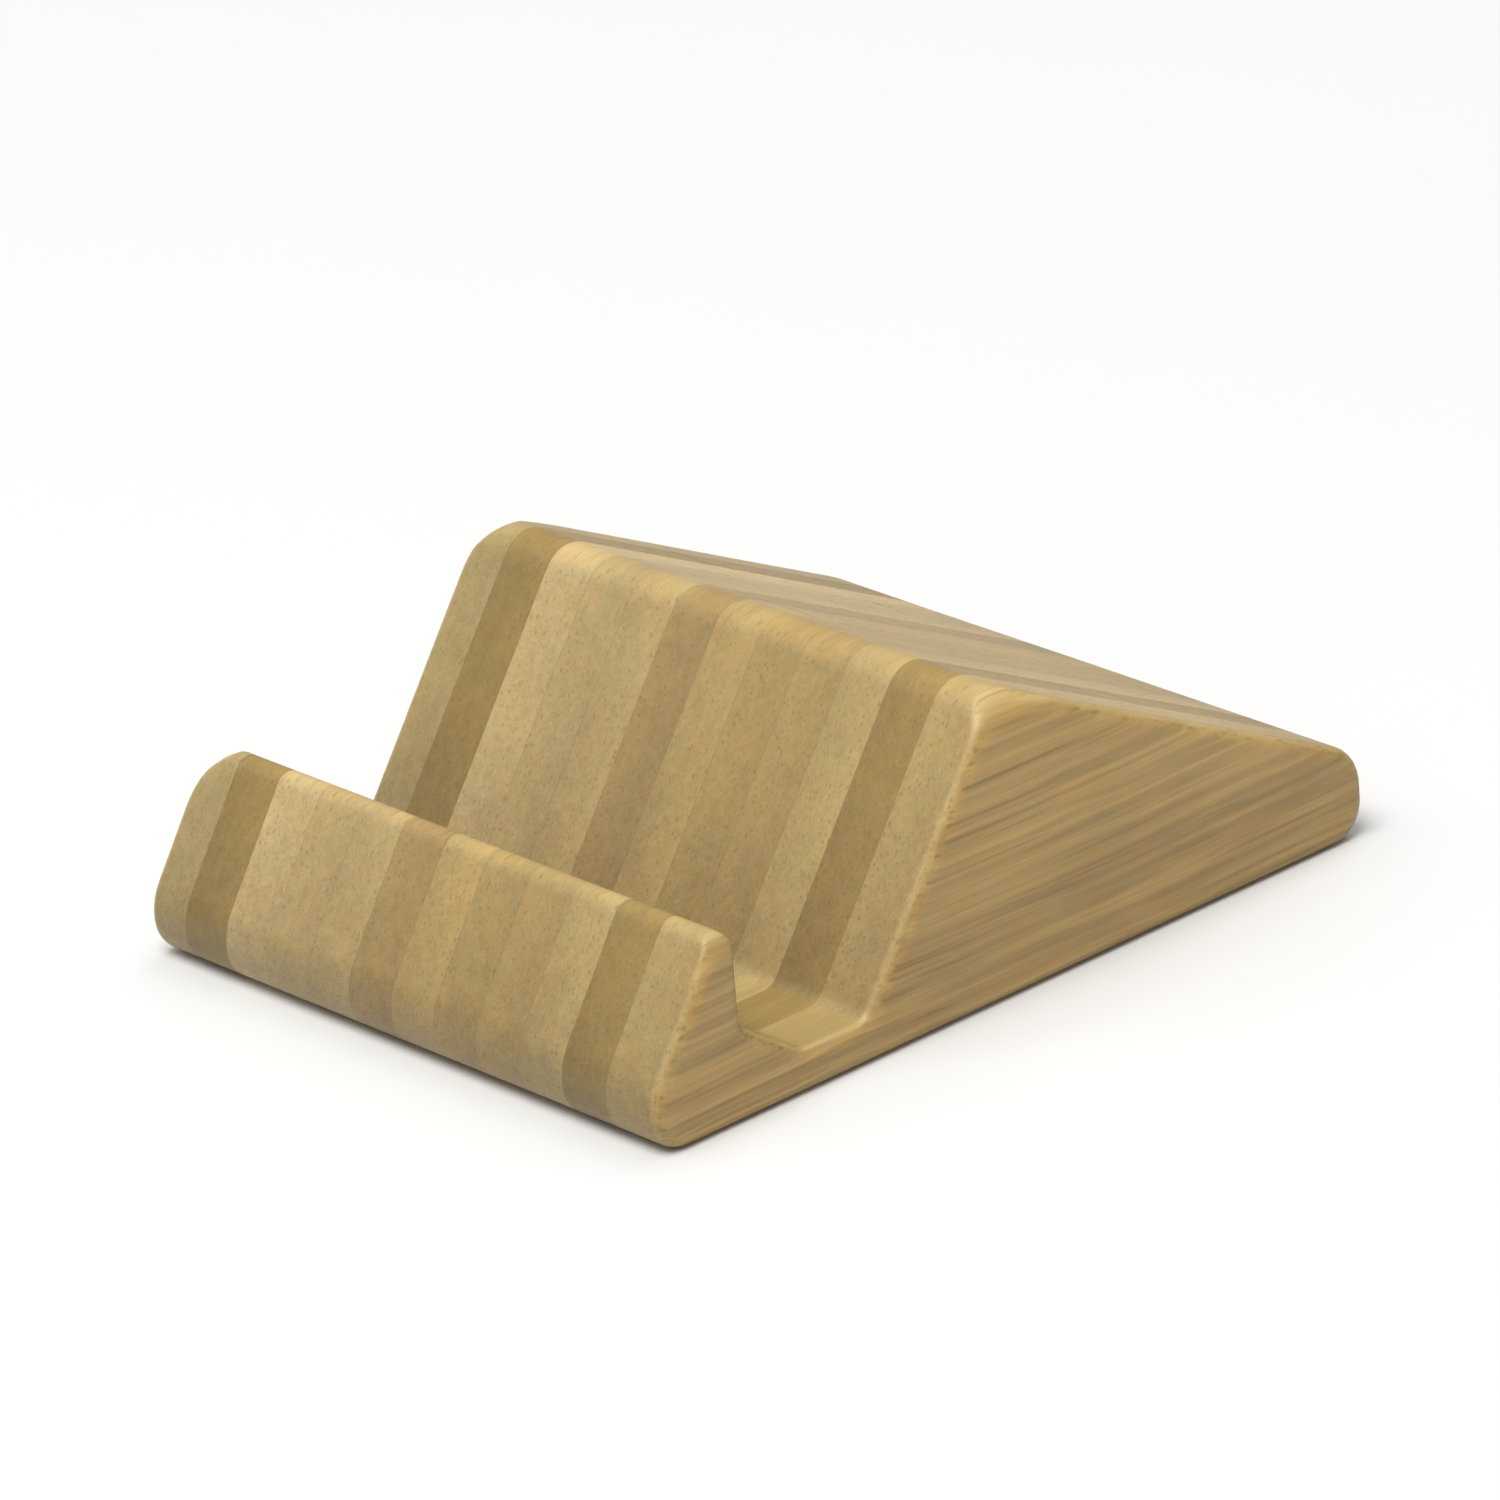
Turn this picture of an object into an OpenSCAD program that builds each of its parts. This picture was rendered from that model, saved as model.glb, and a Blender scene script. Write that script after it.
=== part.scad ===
// Tablet stand: a small block of laminated bamboo with a slanted slot across it.
// Twelve strips stand on edge, side by side, and are glued face to face. Every strip
// has the same outline, cut and sanded after gluing, so the slot runs through them all.
// X runs across the block, Y from the front lip to the tail, and Z up from the table.
// The origin is the middle of the footprint.

/* [Block] */
// Width across all the strips
stand_w = 60; // [56:1:84]
// Depth from the nose to the tail
stand_d = 76; // [72:1:100]
// Radius along the bottom of the nose and of the tail
toe_r = 3.2; // [1:0.1:3.5]
// Radius of the block's four upright corners
corner_r = 1.2; // [0.5:0.1:2]

/* [Front lip] */
// Height of the lip's crest
lip_h = 15.8; // [14:0.1:17]
// Thickness of the lip at its foot
lip_t = 9.4; // [8.5:0.1:11]
// Height of the upright nose, under the sloping front
nose_h = 5; // [4.6:0.1:6]
// Slope of the front face, up from the table
front_slope = 56.5; // [55:0.5:60]
// Radius where the nose turns into the sloping front
nose_r = 5; // [1:0.5:5]
// Radius of the crest's left-hand end, which is sanded rounder than the other
crest_left_r = 4.5; // [1:0.1:4.6]
// Radius of the crest's right-hand end
crest_right_r = 2.2; // [1:0.1:4.6]

/* [Slot] */
// Lean of the tablet, back from upright
lean = 35; // [30:1:38]
// Clear width from the foot of the lip to the back rest, square to the rest
slot_w = 12.5; // [11:0.5:14]
// Height of the seat where it meets the lip
seat_h = 7.7; // [7:0.1:8.5]
// Wood left under the slot
floor_t = 3.5; // [3:0.1:4.5]
// Radius in the corners of the slot
slot_r = 1.5; // [0.5:0.1:2]

/* [Back rest] */
// Height of the ridge that the tablet leans on
ridge_h = 25; // [22:1:28]
// Radius over the ridge
ridge_r = 3; // [1:0.5:4]
// Radius of the ridge's two outer ends
ridge_end_r = 3.4; // [1:0.1:4.6]
// Height of the tail, where the back slope ends
tail_h = 7; // [6:0.5:9]
// Radius over the top of the tail
tail_r = 4; // [1:0.5:4]

/* [Hidden] */
NODES = [
    "strip_01", "strip_02", "strip_03", "strip_04", "strip_05", "strip_06",
    "strip_07", "strip_08", "strip_09", "strip_10", "strip_11", "strip_12"
];

$fn = 96;
past = 1; // how far a cutter runs past the wood
snug = 0.002; // how far an arc runs past the faces it joins, so that they cross cleanly
strip_count = len(NODES);
strip_t = 0.0825 * stand_w;
first_t = 0.0785 * stand_w; // the left-hand strip; the right-hand one takes up the rest

// The bamboo's colour, and how light each strip is beside it, from left to right
BAMBOO = [0.69, 0.60, 0.41];
SHADES = [0.95, 0.86, 1.06, 1.01, 1.00, 0.94, 1.00, 0.95, 0.93, 0.99, 0.89, 1.00];

front_y = -stand_d / 2;
tail_y = stand_d / 2;
wall_y = front_y + lip_t;

// The front slope and the slot's upright wall would meet in a sharp peak.
// The crest's radius is the one that brings the top of the lip down to lip_h.
peak_z = nose_h + lip_t * tan(front_slope);
crest_r = (peak_z - lip_h) / (1 / tan((90 - front_slope) / 2) - 1);

// The seat falls away from the lip, square to the leaning tablet, down to the floor.
seat_end_y = wall_y + (seat_h - floor_t) / tan(lean);

// The back rest leans with the tablet: this is how far back it is at a height z.
function rest_y(z) = wall_y + slot_w / cos(lean) + (z - seat_h) * tan(lean);

// The ridge is an arc that touches the back rest. The back slope leaves the arc and falls
// to the tail. Carried on past the arc, the two would meet at ridge_peak_z.
arc_z = ridge_h - ridge_r;
arc_y = rest_y(arc_z) + ridge_r / cos(lean);
run = tail_y - arc_y;
drop = arc_z - tail_h;
back_slope = atan(drop / run) + asin(ridge_r / norm([run, drop]));
ridge_peak_z = (tail_h + (tail_y - rest_y(0)) * tan(back_slope)) / (1 + tan(back_slope) * tan(lean));

// Each corner of the strip's outline: [y, z, radius]
OUTLINE = [
    [front_y, 0, toe_r],
    [tail_y, 0, toe_r],
    [tail_y, tail_h, tail_r],
    [rest_y(ridge_peak_z), ridge_peak_z, ridge_r],
    [rest_y(floor_t), floor_t, slot_r],
    [seat_end_y, floor_t, slot_r],
    [wall_y, seat_h, slot_r / 3],
    [wall_y, peak_z, crest_r],
    [front_y, nose_h, nose_r]
];

// Geometry of corner i: its point, the ways back and ahead along the outline, half the
// angle between them, and the centre of its arc.
function at(i) = let(p = OUTLINE[(i + len(OUTLINE)) % len(OUTLINE)]) [p.x, p.y];
function radius(i) = OUTLINE[i].z;
function unit(v) = v / norm(v);
function back(i) = unit(at(i - 1) - at(i));
function ahead(i) = unit(at(i + 1) - at(i));
function half_angle(i) = acos(back(i) * ahead(i)) / 2;
function inward(i) = unit(back(i) + ahead(i));
function centre(i) = at(i) + radius(i) / sin(half_angle(i)) * inward(i);
function is_hollow(i) = back(i).y * ahead(i).x < back(i).x * ahead(i).y;

// Where a circle of radius r about corner i's centre would touch a side that lies along v
function touch(i, v, r) = centre(i) + r * unit(v * (v * inward(i)) - inward(i));

// What lies between corner i's arc and its sharp point, with a margin around the point
module corner_piece(i) {
    r = radius(i) + past;
    difference() {
        polygon([
            centre(i),
            touch(i, back(i), r),
            centre(i) - r / sin(half_angle(i)) * inward(i),
            touch(i, ahead(i), r)
        ]);
        translate(centre(i)) circle(radius(i) + snug);
    }
}

// The outline of every strip, seen from the block's right. A hollow corner starts as a
// straight line from touch to touch, which its circle then scoops out to an arc.
module outline() {
    corners = [0 : len(OUTLINE) - 1];
    difference() {
        polygon([
            for (i = corners)
                each is_hollow(i)
                    ? [touch(i, back(i), radius(i)), touch(i, ahead(i), radius(i))]
                    : [at(i)]
        ]);
        for (i = corners) {
            if (is_hollow(i)) translate(centre(i)) circle(radius(i) + snug);
            else corner_piece(i);
        }
    }
}

// What lies outside the round of a right-angled corner at [0, 0], with the wood to its lower left
module edge_piece(r) {
    difference() {
        translate([-r, -r]) square(r + past);
        translate([-r, -r]) circle(r + snug);
    }
}

// Cutter for the block's right edge below height z, from y0 back to y1
module outer_round(r, z, y0, y1) {
    translate([stand_w / 2, y1, z]) rotate([90, 0, 0]) linear_extrude(y1 - y0) edge_piece(r);
}

// Cutter for the upright corner at the back of the block's right side
module upright_round() {
    translate([stand_w / 2, tail_y, -past]) linear_extrude(ridge_h + 2 * past) edge_piece(corner_r);
}

// All that is sanded off the block's right-hand side, with the crest's end to radius r
module side_rounds(r) {
    outer_round(r, lip_h, front_y - past, wall_y + past);
    outer_round(ridge_end_r, ridge_h, wall_y + past, tail_y);
    upright_round();
    mirror([0, 1, 0]) upright_round();
}

// How far along X the glued face between strips i - 1 and i lies, counted from 0 at the left
function joint_x(i) =
    i == 0 ? -stand_w / 2
    : i == strip_count ? stand_w / 2
    : first_t + (i - 1) * strip_t - stand_w / 2;

// Strip number i, counted from 0 at the left
module strip(i) {
    color(SHADES[i] * BAMBOO) difference() {
        translate([joint_x(i), 0, 0]) rotate([90, 0, 90])
            linear_extrude(joint_x(i + 1) - joint_x(i)) outline();
        if (i == strip_count - 1) side_rounds(crest_right_r);
        if (i == 0) mirror([1, 0, 0]) side_rounds(crest_left_r);
    }
}

for (i = [0 : strip_count - 1]) {
    strip(i);
}
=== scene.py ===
"""Looks of the laminated bamboo tablet stand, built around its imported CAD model.

Each strip of the block has a mesh of its own: the CAD outline swept across the strip. The
glued faces meet flush, and the block's two outer faces are rounded over as if sanded by hand.
The bamboo is one solid texture with its fibres along Y, so the front and the tail show end
grain, and the sides, the slot's seat and the ridge show long grain.
"""

import math

import bmesh
import bpy
import numpy as np
from mathutils import Matrix, Vector, noise


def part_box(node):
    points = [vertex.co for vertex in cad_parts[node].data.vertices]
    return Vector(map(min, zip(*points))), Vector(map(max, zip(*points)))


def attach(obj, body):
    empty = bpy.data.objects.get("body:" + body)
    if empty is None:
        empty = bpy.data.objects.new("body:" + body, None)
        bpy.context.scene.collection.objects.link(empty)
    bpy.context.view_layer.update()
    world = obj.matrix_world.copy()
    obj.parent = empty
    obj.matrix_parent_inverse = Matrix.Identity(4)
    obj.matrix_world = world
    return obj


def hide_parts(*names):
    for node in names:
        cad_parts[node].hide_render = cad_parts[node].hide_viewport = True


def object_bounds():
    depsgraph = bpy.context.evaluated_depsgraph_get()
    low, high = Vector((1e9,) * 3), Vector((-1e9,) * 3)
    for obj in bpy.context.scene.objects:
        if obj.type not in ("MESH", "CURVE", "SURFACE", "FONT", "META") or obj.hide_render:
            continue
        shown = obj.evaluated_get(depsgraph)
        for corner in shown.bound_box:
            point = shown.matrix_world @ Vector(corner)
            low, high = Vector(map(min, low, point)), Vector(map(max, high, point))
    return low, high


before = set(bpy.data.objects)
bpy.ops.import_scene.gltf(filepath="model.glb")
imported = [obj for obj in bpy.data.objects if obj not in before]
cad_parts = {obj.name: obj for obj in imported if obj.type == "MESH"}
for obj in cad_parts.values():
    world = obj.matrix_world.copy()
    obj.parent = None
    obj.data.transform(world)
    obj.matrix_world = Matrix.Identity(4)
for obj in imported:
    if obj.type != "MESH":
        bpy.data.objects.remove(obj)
cad_low, cad_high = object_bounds()

MM = 0.001
STRIPS = sorted(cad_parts)
WELD = 0.001 * MM  # points closer than this are one point
LEFTWARD = -0.9  # a face whose normal has a lower X than this faces left

# --------------------------------------------------------------------------- shape

OUTLINE_STEP = 0.3 * MM  # spacing of the points round the outline
SMOOTHINGS = 2  # how often each point is averaged with its neighbours
COLUMNS = 10  # columns of faces across a strip, between its edges
OUTER_EDGE = 1.2 * MM  # radius sanded round the block's two outer faces, as at the CAD's corners
OUTER_STEPS = 9  # columns of faces round each of those edges
LIP_SHARE = 1 / 6  # the crest of the lip lies in this front share of the block's depth
CREST_LEFT = 4.5 * MM  # radius of the left-hand end of the lip's crest, as in the CAD
CREST_RIGHT = 2.2 * MM  # and of its right-hand end
RIDGE_ENDS = 3.4 * MM  # radius of both ends of the ridge
CREASE = 1.8 * MM  # how widely the creases round those ends are softened
WAVE = 0.035 * MM  # depth of the unevenness left by hand sanding
WAVE_SIZE = 11 * MM
FLAT_FOOT = 1 * MM  # the unevenness fades in over this height, so the underside stays flat


def cad_outline(node):
    """The outline of a strip as a ring of (y, z) points, read off the CAD strip's left face."""
    mesh = bmesh.new()
    mesh.from_mesh(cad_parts[node].data)
    bmesh.ops.remove_doubles(mesh, verts=mesh.verts, dist=WELD)
    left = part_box(node)[0].x
    rim = [
        edge
        for edge in mesh.edges
        if all(abs(vert.co.x - left) < WELD for vert in edge.verts)
        and sum(face.normal.x < LEFTWARD for face in edge.link_faces) == 1
    ]
    ring = [rim[0].verts[0], rim[0].verts[1]]
    used = {rim[0]}
    while len(used) < len(rim):
        onward = next(e for e in ring[-1].link_edges if e in rim and e not in used)
        used.add(onward)
        ring.append(onward.other_vert(ring[-1]))
    points = np.array([(vert.co.y, vert.co.z) for vert in ring[:-1]])
    mesh.free()
    return points


def resampled(points, step):
    """The same closed ring with evenly spaced points, its facets smoothed away, going round
    from low Y to high Y along the bottom."""
    closed = np.vstack([points, points[:1]])
    lengths = np.linalg.norm(np.diff(closed, axis=0), axis=1)
    along = np.concatenate([[0], np.cumsum(lengths)])
    at = np.linspace(0, along[-1], round(along[-1] / step), endpoint=False)
    ring = np.column_stack([np.interp(at, along, closed[:, k]) for k in (0, 1)])
    for _ in range(SMOOTHINGS):
        ring = (np.roll(ring, 1, 0) + 2 * ring + np.roll(ring, -1, 0)) / 4
    area = np.sum(ring[:, 0] * np.roll(ring[:, 1], -1) - np.roll(ring[:, 0], -1) * ring[:, 1])
    return ring if area > 0 else ring[::-1]


def outward(ring):
    """The outward normal at each point of the ring."""
    along = np.roll(ring, -1, 0) - np.roll(ring, 1, 0)
    along /= np.linalg.norm(along, axis=1)[:, None]
    return np.column_stack([along[:, 1], -along[:, 0]])


def crests(ring):
    """What each point is under, the lip's crest or the ridge: its height and its ends' radii."""
    low, high = ring.min(0), ring.max(0)
    front = ring[:, 0] < low[0] + (high[0] - low[0]) * LIP_SHARE
    lip = (ring[front, 1].max(), CREST_LEFT, CREST_RIGHT)
    ridge = (high[1], RIDGE_ENDS, RIDGE_ENDS)
    return [lip if is_front else ridge for is_front in front]


def end_rounded(x, z, crest, left_radius, right_radius):
    """The height left of z once the outer ends of its crest are rounded, with a soft crease."""
    radius = left_radius if x < 0 else right_radius
    past = abs(x) - (cad_high.x - radius)
    if past <= 0:
        return z
    fall = radius - math.sqrt(max(radius**2 - past**2, 0))
    limit = crest - fall
    soft = min(2 * fall, CREASE)
    overlap = max(soft - abs(z - limit), 0)
    return min(z, limit) - overlap**2 / (4 * soft + WELD)


def sanded(co):
    """How far hand sanding has left the surface below the true outline at a place, in metres."""
    lift = min(co.z / FLAT_FOOT, 1)
    return WAVE * lift * (0.5 + 0.5 * noise.noise(co / WAVE_SIZE))


def edge_columns(radius, steps):
    """Columns of a rounded edge, from the side face inwards: each is (distance in, drop)."""
    turns = [math.pi / 2 * (1 - k / steps) for k in range(steps)] + [0]
    return [(radius * (1 - math.sin(turn)), radius * (1 - math.cos(turn))) for turn in turns]


def strip_mesh(name, left, right, is_first, is_last):
    """A closed mesh of one strip. Only the block's own two outer faces have rounded edges."""
    starts = edge_columns(OUTER_EDGE, OUTER_STEPS) if is_first else [(0, 0)]
    ends = edge_columns(OUTER_EDGE, OUTER_STEPS) if is_last else [(0, 0)]
    inner_left = left + starts[-1][0]
    inner_right = right - ends[-1][0]
    columns = [(left + run, drop) for run, drop in starts]
    for k in range(1, COLUMNS):
        columns.append((inner_left + (inner_right - inner_left) * k / COLUMNS, 0))
    columns += [(right - run, drop) for run, drop in reversed(ends)]

    mesh = bmesh.new()
    grid = []
    for x, drop in columns:
        column = []
        for (y, z), normal, crest in zip(RING, NORMALS, CRESTS):
            depth = drop + sanded(Vector((x, y, z)))
            height = end_rounded(x, z - depth * normal[1], *crest)
            column.append(mesh.verts.new((x, y - depth * normal[0], max(height, 0))))
        grid.append(column)
    for here, there in zip(grid, grid[1:]):
        for k in range(len(RING)):
            n = (k + 1) % len(RING)
            mesh.faces.new((here[k], here[n], there[n], there[k])).smooth = True
    caps = [mesh.faces.new(reversed(grid[0])), mesh.faces.new(grid[-1])]
    for cap, is_outer in zip(caps, (is_first, is_last)):
        for edge in cap.edges:
            edge.smooth = is_outer
    bmesh.ops.triangulate(mesh, faces=caps)
    bmesh.ops.recalc_face_normals(mesh, faces=mesh.faces)
    data = bpy.data.meshes.new(name)
    mesh.to_mesh(data)
    mesh.free()
    return data


# ----------------------------------------------------------------------- materials


class Graph:
    """A material's node tree, with short calls for the nodes that the bamboo and floor use."""

    def __init__(self, name):
        self.material = bpy.data.materials.new(name)
        self.material.use_nodes = True
        self.tree = self.material.node_tree
        self.shader = self.tree.nodes["Principled BSDF"]

    def add(self, kind, inputs=(), **settings):
        node = self.tree.nodes.new(kind)
        for key, value in settings.items():
            setattr(node, key, value)
        for key, value in dict(inputs).items():
            self.set(node.inputs[key], value)
        return node

    def set(self, socket, value):
        if isinstance(value, bpy.types.NodeSocket):
            self.tree.links.new(value, socket)
        else:
            socket.default_value = value

    def math(self, operation, *values):
        node = self.add("ShaderNodeMath", enumerate(values), operation=operation)
        return node.outputs[0]

    def vector(self, operation, *values):
        node = self.add("ShaderNodeVectorMath", enumerate(values), operation=operation)
        return node.outputs[0]

    def split(self, vector):
        """The X, Y and Z of a vector."""
        return self.add("ShaderNodeSeparateXYZ", {0: vector}).outputs

    def swirl(self, vector, scale):
        """Coloured noise, which serves as a displacement."""
        return self.add("ShaderNodeTexNoise", {"Vector": vector, "Scale": scale}).outputs["Color"]

    def scaled(self, vector, factor):
        node = self.add("ShaderNodeVectorMath", {0: vector, "Scale": factor}, operation="SCALE")
        return node.outputs[0]

    def noise(self, vector, scale, detail=2.0, roughness=0.5):
        """Noise about 0, from roughly -0.5 to 0.5."""
        inputs = {"Vector": vector, "Scale": scale, "Detail": detail, "Roughness": roughness}
        return self.math("SUBTRACT", self.add("ShaderNodeTexNoise", inputs).outputs["Fac"], 0.5)

    def step(self, value, low, high, out_low=0.0, out_high=1.0):
        """Goes smoothly from out_low to out_high as value goes from low to high."""
        inputs = {
            "Value": value, "From Min": low, "From Max": high,
            "To Min": out_low, "To Max": out_high,
        }
        node = self.add("ShaderNodeMapRange", inputs, interpolation_type="SMOOTHSTEP")
        return node.outputs["Result"]

    def sum(self, *values):
        total = values[0]
        for value in values[1:]:
            total = self.math("ADD", total, value)
        return total

    def blend(self, factor, colour_a, colour_b):
        inputs = {0: factor, 6: colour_a, 7: colour_b}
        node = self.add("ShaderNodeMix", data_type="RGBA")
        for key, value in inputs.items():
            self.set(node.inputs[key], value)
        return node.outputs[2]


def linear(red, green, blue):
    """An sRGB colour, 0 to 255, as linear RGBA."""
    def channel(value):
        value /= 255
        return value / 12.92 if value <= 0.04045 else ((value + 0.055) / 1.055) ** 2.4
    return (channel(red), channel(green), channel(blue), 1)


# Each strip's own colour from left to right, the side that was outermost in the culm (-1 is
# its left), and where along it a joint of the culm lies (mm from the middle, or None)
STRIP_LOOKS = [
    ((157, 138, 91), 1, None),
    ((138, 116, 65), -1, 15),
    ((178, 156, 108), 1, None),
    ((164, 144, 97), 1, 27),
    ((165, 144, 96), -1, None),
    ((149, 126, 79), 1, None),
    ((162, 139, 88), -1, 4),
    ((156, 133, 82), 1, None),
    ((156, 133, 83), 1, 31),
    ((164, 143, 93), -1, None),
    ((141, 118, 67), -1, 20),
    ((162, 140, 90), 1, None),
]
DARK_FIBRE = linear(104, 80, 47)
PALER = 1.12  # the pale ground is this much lighter than the strip as a whole
WARM = (1.05, 0.99, 0.94)  # how the tint drifts, over the patches where the wood is warmer
SIDE_TINT = (1.05, 0.96, 0.83)  # the long grain of the two sides is more golden
NOISE_APART = (0, 311.0, 97.0)  # how far apart in the noise two neighbouring strips lie, in mm

# Scales of the noise: roughly how many features there are to a millimetre
FINE_SCALE = 5.5
STREAK_SCALE = 1.3
BLOTCH_SCALE = 0.5
PATCH_SCALE = 0.09
WARMTH_SCALE = 0.3
WANDER_SCALE = 0.03
STIR_SCALE = 0.8
BOW_SCALE = 0.16

# The course of the fibres
GRAIN = 0.016  # places along the fibres are scaled by this, which draws the pattern out along them
BLOTCH_GRAIN = 0.35  # the same for the blotches, which are drawn out less
WANDER = 1.6  # how far the fibres wander, in mm
STIR = 0.9  # how much further they wander at a joint of the culm, in mm
BOW = 5.0  # how much the line of a joint bows, in mm
JOINT_REACH = (0.4, 4.0)  # how far from a joint the stirring starts to fade and has gone, in mm
SEAM_REACH = 1.1  # how far from a joint its dark seam has gone, in mm

# Bundles of dark fibre
BUNDLE_SCALE = (1.7, 1.0, 1.8)  # how closely they lie, along X, Y and Z of the drawn-out pattern
BUNDLE_SCATTER = 0.85
BUNDLE_EDGE = (0.12, 0.42)  # how far from its middle a bundle starts to fade and has gone
FAINTEST_BUNDLE = 0.35  # strength of the faintest, beside 1 for the strongest
CROWDING = 0.8  # how much they are crowded, as a share of the strip's thickness

# How strongly the dark fibre shows
BUNDLE = 0.4  # in a bundle, on all but the block's two sides
BUNDLE_SIDE = 0.45  # in a bundle, on those sides
GLUE = 0.22  # in the film of glue between two strips
GLUE_FADE = (0.1, 0.02)  # how far from the glued face its line starts and is full, in mm
OUTER_FADE = (1.0, 0.8)  # how far from the block's own two sides it fades and has gone, in mm

# Where a side and its sanded edge begin, told by the X of the surface's normal, squared. The edge
# carries a painted highlight, and the side painted shade
SIDE_BEGINS = (0.2, 0.7)
EDGE_BEGINS = (0.0, 0.15)

# How far each of these changes the lightness, where 1 is the pale ground
FINE = 0.42
STREAK = 0.34  # on all but the block's two sides
STREAK_SIDE = 1.1  # on those sides
BLOTCH = 0.22
PATCH = 0.20
OUTERMOST = -0.07  # at the side of the strip that was outermost in the culm
END_GRAIN = -0.33
# a painted highlight along the rounded edges of the two sides, where light catches them
PAINTED_EDGE_HIGHLIGHT = 0.14
# painted shade on the two sides
PAINTED_SIDE_SHADE = -0.03
# painted shade near the foot and painted light towards the top of the lip
PAINTED_FOOT_SHADE_TOP_LIGHT = (-0.04, 0.11)  # below the first of these heights, and above the second
FOOT_HEIGHT, TOP_HEIGHT = 5.0, 16.0  # mm
JOINT_SEAM = -0.2
JOINT_HALO = 0.06

WARMTH_EDGE = 0.15  # how sharply the warmer patches are set off: lower is sharper

# The surface
ROUGHNESS = 0.45
ROUGH_BUNDLE = 0.12
ROUGH_STREAK = 0.14
HEIGHT_FINE = 0.6
HEIGHT_STREAK = 0.5
HEIGHT_BUNDLE = -0.5
BUMP_STRENGTH = 0.3
BUMP_DEPTH = 0.06 * MM
SPECULAR = 0.5


def culm_joint(g, own, y, at):
    """A joint of the culm at y = at: how far off it is, and how much it stirs the grain."""
    bow = g.math("MULTIPLY", g.noise(own, BOW_SCALE, detail=3.0, roughness=0.6), BOW)
    off = g.math("ABSOLUTE", g.sum(y, float(-at), bow))
    return off, g.step(off, *JOINT_REACH, 1.0, 0.0)


def along_fibres(g, own, stir):
    """The place within the grain. The fibres run along Y and wander, more so where stirred."""
    bent = g.vector("ADD", own, g.scaled(g.swirl(own, WANDER_SCALE), WANDER))
    if stir is not None:
        further = g.scaled(g.swirl(own, STIR_SCALE), g.math("MULTIPLY", stir, STIR))
        bent = g.vector("ADD", bent, further)
    return g.vector("MULTIPLY", bent, (1.0, GRAIN, 1.0))


def fibre_bundles(g, fibre, depth, thickness):
    """Bundles of dark fibre: dots on end grain and lines on long grain. They crowd together
    towards the side that was outermost in the culm."""
    crowd = g.math("MULTIPLY", g.math("MULTIPLY", depth, depth), thickness * CROWDING)
    shift = g.add("ShaderNodeCombineXYZ", {0: crowd}).outputs[0]
    spread = g.vector("MULTIPLY", g.vector("ADD", fibre, shift), BUNDLE_SCALE)
    inputs = {"Vector": spread, "Scale": 1.0, "Randomness": BUNDLE_SCATTER}
    cells = g.add("ShaderNodeTexVoronoi", inputs)
    bundle = g.step(cells.outputs["Distance"], *BUNDLE_EDGE, 1.0, 0.0)
    vigour = g.add("ShaderNodeSeparateColor", {0: cells.outputs["Color"]}).outputs[0]
    return g.math("MULTIPLY", bundle, g.step(vigour, 0.0, 1.0, FAINTEST_BUNDLE, 1.0))


def glue_line(g, x, left, right):
    """How strongly the film of glue shows, as a hair line where two strips meet."""
    half = (right - left) / 2
    off_middle = g.math("ABSOLUTE", g.math("SUBTRACT", x, (left + right) / 2))
    hair = g.step(off_middle, half - GLUE_FADE[0], half - GLUE_FADE[1], 0.0, GLUE)
    side = cad_high.x / MM
    from_middle = g.math("ABSOLUTE", x)
    inside = g.step(from_middle, side - OUTER_FADE[0], side - OUTER_FADE[1], 1.0, 0.0)
    return g.math("MULTIPLY", hair, inside)


def satin_surface(g, wood, fine, streak, bundle):
    """Satin oil: rougher over the open bundles, with the fibres just felt."""
    rough = g.sum(
        ROUGHNESS,
        g.math("MULTIPLY", bundle, ROUGH_BUNDLE),
        g.math("MULTIPLY", streak, ROUGH_STREAK),
    )
    height = g.sum(
        g.math("MULTIPLY", fine, HEIGHT_FINE),
        g.math("MULTIPLY", streak, HEIGHT_STREAK),
        g.math("MULTIPLY", bundle, HEIGHT_BUNDLE),
    )
    inputs = {"Height": height, "Strength": BUMP_STRENGTH, "Distance": BUMP_DEPTH}
    g.set(g.shader.inputs["Base Color"], wood)
    g.set(g.shader.inputs["Roughness"], rough)
    g.set(g.shader.inputs["Normal"], g.add("ShaderNodeBump", inputs).outputs["Normal"])
    g.shader.inputs["Specular IOR Level"].default_value = SPECULAR


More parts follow.
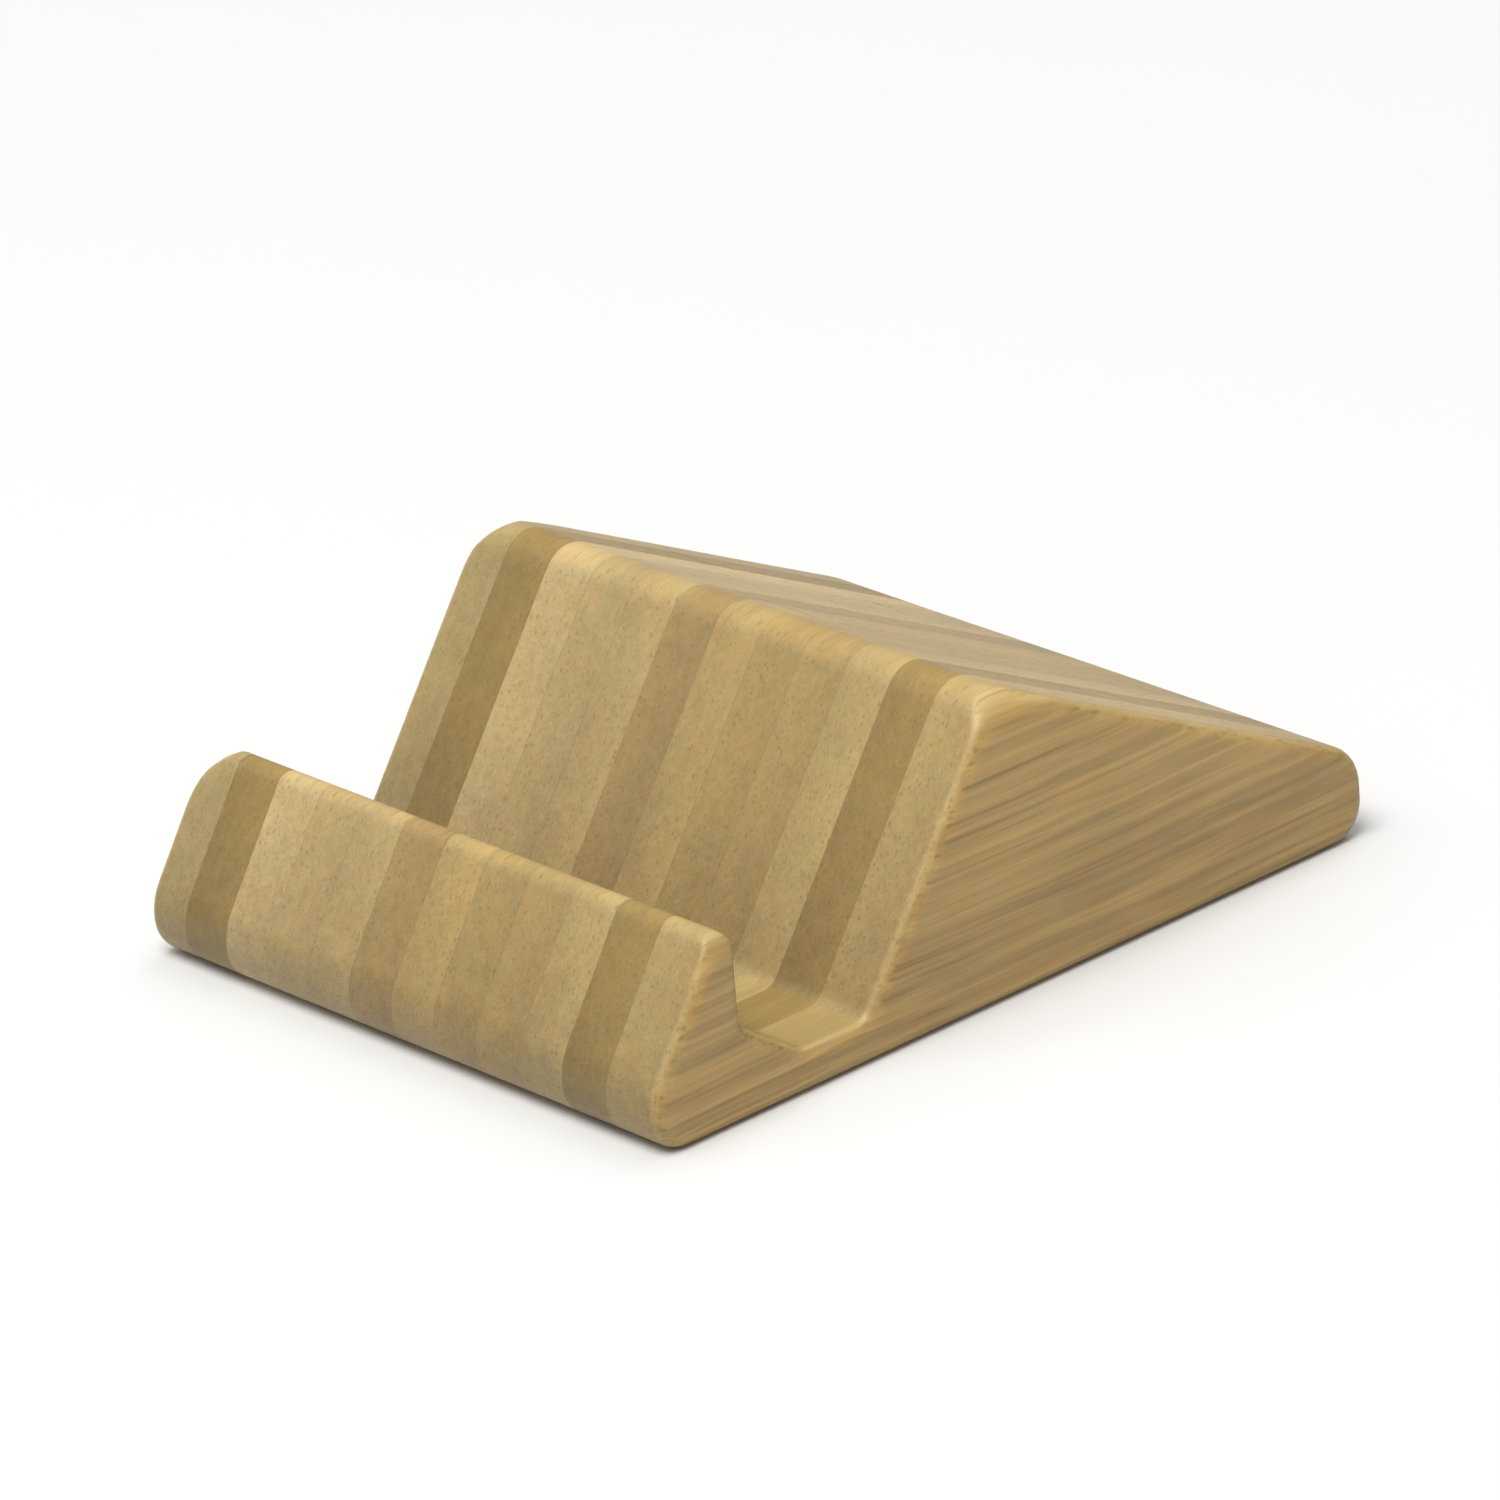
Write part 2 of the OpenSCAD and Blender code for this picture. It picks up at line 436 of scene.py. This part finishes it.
def bamboo(number, left, right):
    """The bamboo of one strip, which lies between left and right. Inside, lengths are in mm."""
    colour, outer_side, joint_at = STRIP_LOOKS[number]
    left /= MM
    right /= MM
    inner, outer = (left, right) if outer_side > 0 else (right, left)
    g = Graph(f"bamboo_{number + 1:02d}")
    source = g.add("ShaderNodeTexCoord")
    place = g.scaled(source.outputs["Object"], 1 / MM)
    x, y, z = g.split(place)
    own = g.vector("ADD", place, [apart * number for apart in NOISE_APART])
    off_joint, stir = (None, None) if joint_at is None else culm_joint(g, own, y, joint_at)
    fibre = along_fibres(g, own, stir)
    depth = g.step(x, inner, outer)
    bundle = fibre_bundles(g, fibre, depth, outer - inner)

    # Which grain a surface shows depends on the way it faces
    across, along, _ = g.split(source.outputs["Normal"])
    side_grain = g.math("MULTIPLY", across, across)
    end_grain = g.math("MULTIPLY", along, along)
    flat_side = g.step(side_grain, *SIDE_BEGINS)
    # edge is where the painted highlight along the rounded edges goes
    edge = g.math("SUBTRACT", g.step(side_grain, *EDGE_BEGINS), flat_side)

    # Lightness: hair-fine fibres, streaks, soft blotches, a darker outer side, darker end grain,
    # a painted highlight along the rounded edges, painted shade on the two sides, and painted
    # shade and light that darken the foot and lighten the lip towards its top
    fine = g.noise(fibre, FINE_SCALE, detail=3.0, roughness=0.65)
    streak = g.noise(fibre, STREAK_SCALE, detail=3.0, roughness=0.6)
    drawn_out = g.vector("MULTIPLY", own, (1.0, BLOTCH_GRAIN, 1.0))
    blotch = g.noise(drawn_out, BLOTCH_SCALE, detail=3.0, roughness=0.6)
    patch = g.noise(own, PATCH_SCALE, detail=1.0)
    lightness = g.sum(
        1.0,
        g.math("MULTIPLY", fine, FINE),
        g.math("MULTIPLY", streak, g.step(side_grain, 0.0, 1.0, STREAK, STREAK_SIDE)),
        g.math("MULTIPLY", blotch, BLOTCH),
        g.math("MULTIPLY", patch, PATCH),
        g.math("MULTIPLY", depth, OUTERMOST),
        g.math("MULTIPLY", end_grain, END_GRAIN),
        # the painted highlight along the rounded edges
        g.math("MULTIPLY", edge, PAINTED_EDGE_HIGHLIGHT),
        # the painted shade on the two sides
        g.math("MULTIPLY", flat_side, PAINTED_SIDE_SHADE),
        # the painted shade at the foot and painted light towards the top
        g.step(z, FOOT_HEIGHT, TOP_HEIGHT, *PAINTED_FOOT_SHADE_TOP_LIGHT),
    )
    if joint_at is not None:
        seam = g.math("MULTIPLY", g.step(off_joint, 0.0, SEAM_REACH, 1.0, 0.0), JOINT_SEAM)
        lightness = g.sum(lightness, seam, g.math("MULTIPLY", stir, JOINT_HALO))

    wood = g.scaled(Vector(linear(*colour)[:3]) * PALER, lightness)
    warmth = g.step(g.noise(own, WARMTH_SCALE), -WARMTH_EDGE, WARMTH_EDGE)
    wood = g.blend(warmth, wood, g.vector("MULTIPLY", wood, WARM))
    wood = g.blend(flat_side, wood, g.vector("MULTIPLY", wood, SIDE_TINT))
    shown = g.math("MULTIPLY", bundle, g.step(side_grain, 0.0, 1.0, BUNDLE, BUNDLE_SIDE))
    wood = g.blend(shown, wood, DARK_FIBRE)
    wood = g.blend(glue_line(g, x, left, right), wood, DARK_FIBRE)
    satin_surface(g, wood, fine, streak, bundle)
    return g.material


FLOOR_TONE = 0.71
FLOOR_CLOUD = 0.02  # how far the clouds in it change its tone
CLOUD_SCALE = 3.0  # to a metre
FLOOR_ROUGHNESS = 0.7


def pale_floor():
    """Smooth matt white laminate."""
    g = Graph("pale_floor")
    place = g.add("ShaderNodeTexCoord").outputs["Object"]
    cloud = g.noise(place, CLOUD_SCALE)
    tone = g.math("ADD", FLOOR_TONE, g.math("MULTIPLY", cloud, FLOOR_CLOUD))
    grey = g.add("ShaderNodeCombineColor", {0: tone, 1: tone, 2: tone}).outputs[0]
    g.set(g.shader.inputs["Base Color"], grey)
    g.shader.inputs["Roughness"].default_value = FLOOR_ROUGHNESS
    return g.material


# ---------------------------------------------------------------------- the object

RING = resampled(cad_outline(STRIPS[len(STRIPS) // 2]), OUTLINE_STEP)  # an inner strip's outline
NORMALS = outward(RING)
CRESTS = crests(RING)

for number, node in enumerate(STRIPS):
    low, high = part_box(node)
    is_last = number == len(STRIPS) - 1
    data = strip_mesh(f"bamboo_{node}", low.x, high.x, number == 0, is_last)
    data.materials.append(bamboo(number, low.x, high.x))
    piece = bpy.data.objects.new(f"bamboo_{node}", data)
    bpy.context.collection.objects.link(piece)
    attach(piece, "root")
    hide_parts(node)

# ------------------------------------------------------------ floor, light, camera

FLOOR_SIZE = 6.0
VIEW_AZIMUTH = 49.2  # degrees round from the front, towards the right
VIEW_ELEVATION = 23.2
VIEW_DISTANCE = 0.77
VIEW_ROLL = -4.7  # degrees that the camera is rolled about its line of sight
VIEW_WIDTH = 0.118  # what the frame takes in at the object
SENSOR_WIDTH = 36
SURROUND = 0.35  # strength of the plain white surroundings


def direction(azimuth, elevation):
    """The unit vector from the object towards a place given by its two angles, in degrees."""
    a, e = math.radians(azimuth), math.radians(elevation)
    return Vector((math.sin(a) * math.cos(e), -math.cos(a) * math.cos(e), math.sin(e)))


def look_at(item, place, target, roll=0.0):
    """Puts item at place, looking at target and rolled about that line, in degrees."""
    turn = (target - place).to_track_quat("-Z", "Y").to_matrix().to_4x4()
    item.matrix_world = Matrix.Translation(place) @ turn @ Matrix.Rotation(math.radians(roll), 4, "Z")


def soft_light(name, azimuth, elevation, distance, size, watts, colour):
    """A square softbox aimed at the object."""
    data = bpy.data.lights.new(name, "AREA")
    data.size = size
    data.energy = watts
    data.color = colour
    lamp = bpy.data.objects.new(name, data)
    bpy.context.collection.objects.link(lamp)
    look_at(lamp, centre + direction(azimuth, elevation) * distance, centre)


centre = (cad_low + cad_high) / 2

bpy.ops.mesh.primitive_plane_add(size=FLOOR_SIZE, location=(0, 0, cad_low.z))
floor = bpy.context.object
floor.name = "floor"
floor.data.materials.append(pale_floor())

# Name, azimuth, elevation, distance, size, watts and colour
soft_light("key_light", 22, 66, 2.0, 1.1, 38.0, (1.0, 0.995, 0.98))
soft_light("front_light", -35, 50, 2.2, 1.7, 10.0, (0.98, 0.99, 1.0))
soft_light("back_light", 190, 60, 2.4, 1.7, 14.0, (1.0, 1.0, 1.0))

world = bpy.data.worlds.new("studio")
world.use_nodes = True
world.node_tree.nodes["Background"].inputs["Color"].default_value = (1, 1, 1, 1)
world.node_tree.nodes["Background"].inputs["Strength"].default_value = SURROUND
bpy.context.scene.world = world

camera_data = bpy.data.cameras.new("camera")
camera_data.sensor_width = SENSOR_WIDTH
camera_data.lens = camera_data.sensor_width * VIEW_DISTANCE / VIEW_WIDTH
camera_data.clip_start = 0.01
camera = bpy.data.objects.new("camera", camera_data)
bpy.context.collection.objects.link(camera)
look_at(camera, centre + direction(VIEW_AZIMUTH, VIEW_ELEVATION) * VIEW_DISTANCE, centre, VIEW_ROLL)
bpy.context.scene.camera = camera
bpy.context.scene.view_settings.view_transform = "Standard"
